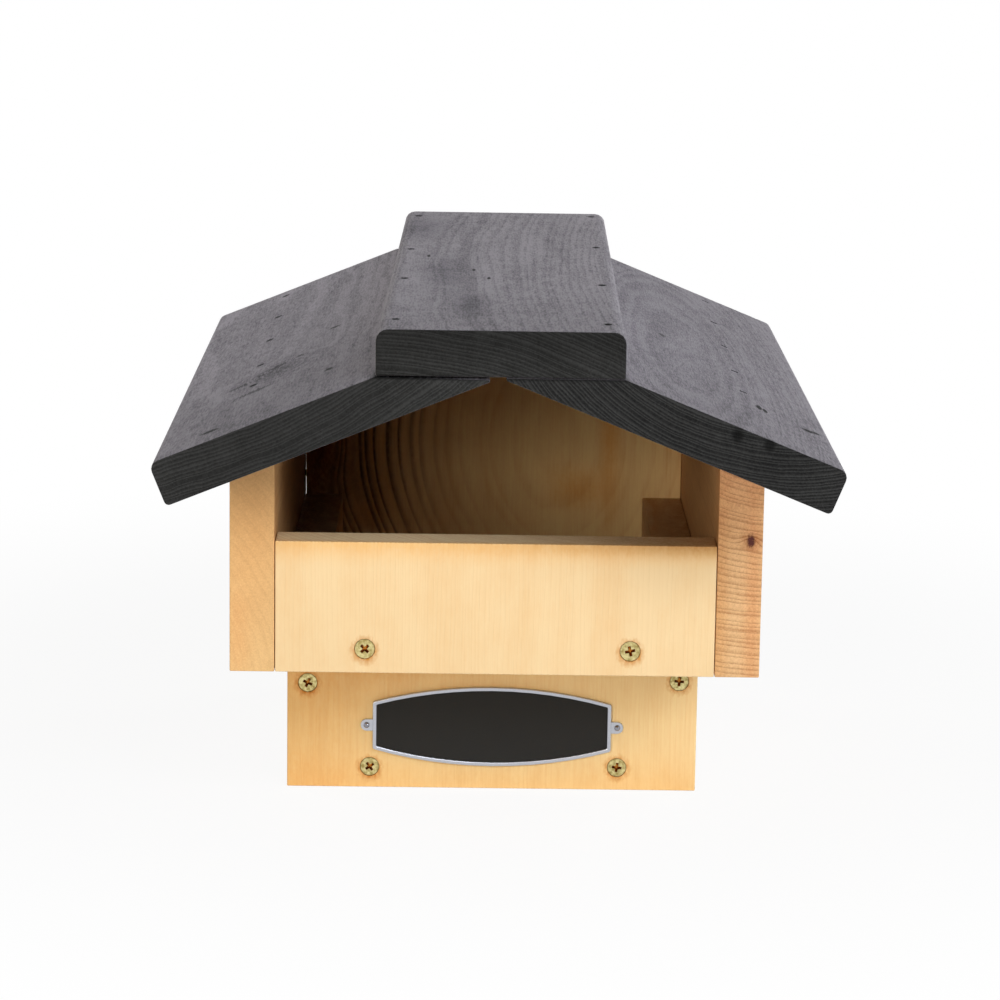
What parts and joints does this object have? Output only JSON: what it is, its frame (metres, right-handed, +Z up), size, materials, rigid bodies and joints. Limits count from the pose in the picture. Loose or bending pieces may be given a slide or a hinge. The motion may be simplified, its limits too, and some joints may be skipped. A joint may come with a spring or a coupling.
{
  "type": "open-fronted nest box",
  "caption": "Open-fronted nest box with a wide pitched roof, a low front panel and a nest tub set back under the housing.",
  "frame": {"origin": "on the rear face of the back wall, on the centre line, level with the lower edges of the side panels", "axes": "+Y out of the back of the box towards the wall, so the open front faces -Y; +X to the right as seen from the front; +Z up"},
  "size_m": [0.2604, 0.364, 0.2303],
  "materials": {
    "pale_pine": "planed, untreated",
    "warm_pine": "planed, untreated",
    "roof_glaze": "matte anthracite glaze over open grain",
    "yellow_zinc": "yellow passivated zinc",
    "nail_steel": "dull steel",
    "plate_metal": "satin rim around a matte black field"
  },
  "bodies": {
    "root": {"side_panel_left": "warm_pine", "side_panel_right": "warm_pine", "front_panel": "pale_pine", "ledge_floor": "pale_pine", "back_wall": "pale_pine", "tub_front": "pale_pine", "tub_side_left": "pale_pine", "tub_side_right": "pale_pine", "tub_floor": "pale_pine", "roof_board_left": "roof_glaze", "roof_board_right": "roof_glaze", "ridge_board": "roof_glaze", "blank_plate": "plate_metal", "plate_pin_left": "plate_metal", "plate_pin_right": "plate_metal", "front_panel_screw_left": "yellow_zinc", "front_panel_screw_right": "yellow_zinc", "tub_front_upper_screw_left": "yellow_zinc", "tub_front_upper_screw_right": "yellow_zinc", "tub_front_lower_screw_left": "yellow_zinc", "tub_front_lower_screw_right": "yellow_zinc", "ledge_screw_left": "yellow_zinc", "ledge_screw_right": "yellow_zinc", "tub_side_screw_left_1": "yellow_zinc", "tub_side_screw_left_2": "yellow_zinc", "tub_side_screw_right_1": "yellow_zinc", "tub_side_screw_right_2": "yellow_zinc", "back_wall_screw_left_1": "yellow_zinc", "back_wall_screw_left_2": "yellow_zinc", "back_wall_screw_right_1": "yellow_zinc", "back_wall_screw_right_2": "yellow_zinc", "tub_rear_screw_left_1": "yellow_zinc", "tub_rear_screw_left_2": "yellow_zinc", "tub_rear_screw_right_1": "yellow_zinc", "tub_rear_screw_right_2": "yellow_zinc", "floor_rear_screw_left": "yellow_zinc", "floor_rear_screw_right": "yellow_zinc", "roof_brad_left_1": "nail_steel", "roof_brad_left_2": "nail_steel", "roof_brad_left_3": "nail_steel", "roof_brad_left_4": "nail_steel", "roof_brad_left_5": "nail_steel", "roof_brad_right_1": "nail_steel", "roof_brad_right_2": "nail_steel", "roof_brad_right_3": "nail_steel", "roof_brad_right_4": "nail_steel", "roof_brad_right_5": "nail_steel", "ridge_brad_left_1": "nail_steel", "ridge_brad_left_2": "nail_steel", "ridge_brad_left_3": "nail_steel", "ridge_brad_left_4": "nail_steel", "ridge_brad_right_1": "nail_steel", "ridge_brad_right_2": "nail_steel", "ridge_brad_right_3": "nail_steel", "ridge_brad_right_4": "nail_steel"}
  },
  "joints": []
}
